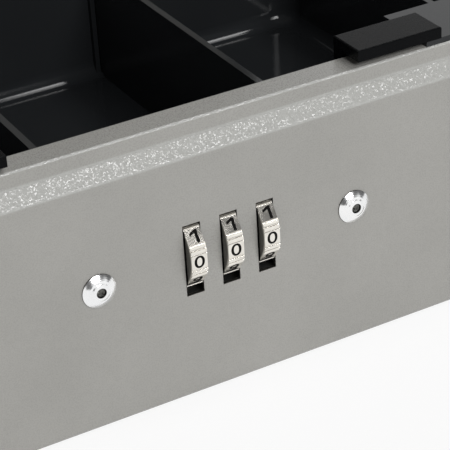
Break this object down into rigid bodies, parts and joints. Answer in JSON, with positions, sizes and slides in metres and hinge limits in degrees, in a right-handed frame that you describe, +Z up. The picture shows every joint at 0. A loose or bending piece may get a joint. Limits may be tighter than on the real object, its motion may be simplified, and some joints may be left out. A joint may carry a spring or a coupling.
{
  "type": "cash box",
  "caption": "Grey steel cash box with an open hinged lid, folding bail handle, number-dial lock in the front wall and a lift-out black coin tray.",
  "frame": {"origin": "centre of the base's underside, on the surface that the box stands on", "axes": "+Z up, front wall with the dials towards -Y, +X to the right seen from the front"},
  "size_m": [0.3, 0.2678, 0.306],
  "materials": {
    "grey_paint": "fine-textured grey powder coat",
    "zinc_steel": "zinc-plated steel",
    "chrome_rod": "bright plated rod",
    "black_gloss_plastic": "glossy black moulding",
    "black_satin_plastic": "satin black moulding",
    "nickel_dial": "nickel-plated die casting",
    "brass_cam": "turned brass",
    "rivet_aluminium": "bright aluminium",
    "lock_steel": "bare pressed steel"
  },
  "bodies": {
    "box": {"box_body": "grey_paint", "hinge_body_leaf_left": "zinc_steel", "hinge_body_leaf_right": "zinc_steel", "hinge_pin_left": "zinc_steel", "hinge_pin_right": "zinc_steel", "lock_case": "lock_steel", "lock_rivets": "rivet_aluminium", "dial_spindle": "lock_steel", "detent_spring": "lock_steel", "bolt_spring": "lock_steel"},
    "lid": {"lid_shell": "grey_paint", "hinge_lid_leaf_left": "zinc_steel", "hinge_lid_leaf_right": "zinc_steel", "handle_bracket_left": "zinc_steel", "handle_bracket_right": "zinc_steel", "lid_striker": "grey_paint"},
    "handle": {"lid_handle": "chrome_rod"},
    "left_dial": {"dial_left": "nickel_dial", "dial_cam_left": "brass_cam"},
    "middle_dial": {"dial_middle": "nickel_dial", "dial_cam_middle": "brass_cam"},
    "right_dial": {"dial_right": "nickel_dial", "dial_cam_right": "brass_cam"},
    "bolt": {"lock_bolt": "lock_steel"},
    "tray": {"coin_tray": "black_gloss_plastic", "tray_tab_left": "black_satin_plastic", "tray_tab_right": "black_satin_plastic", "coin_divider_left": "black_gloss_plastic", "coin_divider_right": "black_gloss_plastic"}
  },
  "joints": [
    {"name": "lid_hinge", "type": "hinge", "parent": "box", "child": "lid", "pos_m": [0, 0.1229, 0.06306], "axis": [-1, 0, 0], "range_deg": [-90, 0]},
    {"name": "handle_fold", "type": "hinge", "parent": "lid", "child": "handle", "pos_m": [0, 0.14004, 0.20196], "axis": [1, 0, 0], "range_deg": [0, 90]},
    {"name": "left_dial_spin", "type": "hinge", "parent": "box", "child": "left_dial", "pos_m": [-0.0032, -0.1134, 0.03715], "axis": [1, 0, 0], "continuous": true},
    {"name": "middle_dial_spin", "type": "hinge", "parent": "box", "child": "middle_dial", "pos_m": [0.0062, -0.1134, 0.03715], "axis": [1, 0, 0], "continuous": true},
    {"name": "right_dial_spin", "type": "hinge", "parent": "box", "child": "right_dial", "pos_m": [0.0156, -0.1134, 0.03715], "axis": [1, 0, 0], "continuous": true},
    {"name": "bolt_slide", "type": "slide", "parent": "box", "child": "bolt", "axis": [1, 0, 0], "range_m": [0, 0.003]},
    {"name": "tray_lift", "type": "slide", "parent": "box", "child": "tray", "axis": [0, 0, 1], "range_m": [0, 0.06]}
  ]
}
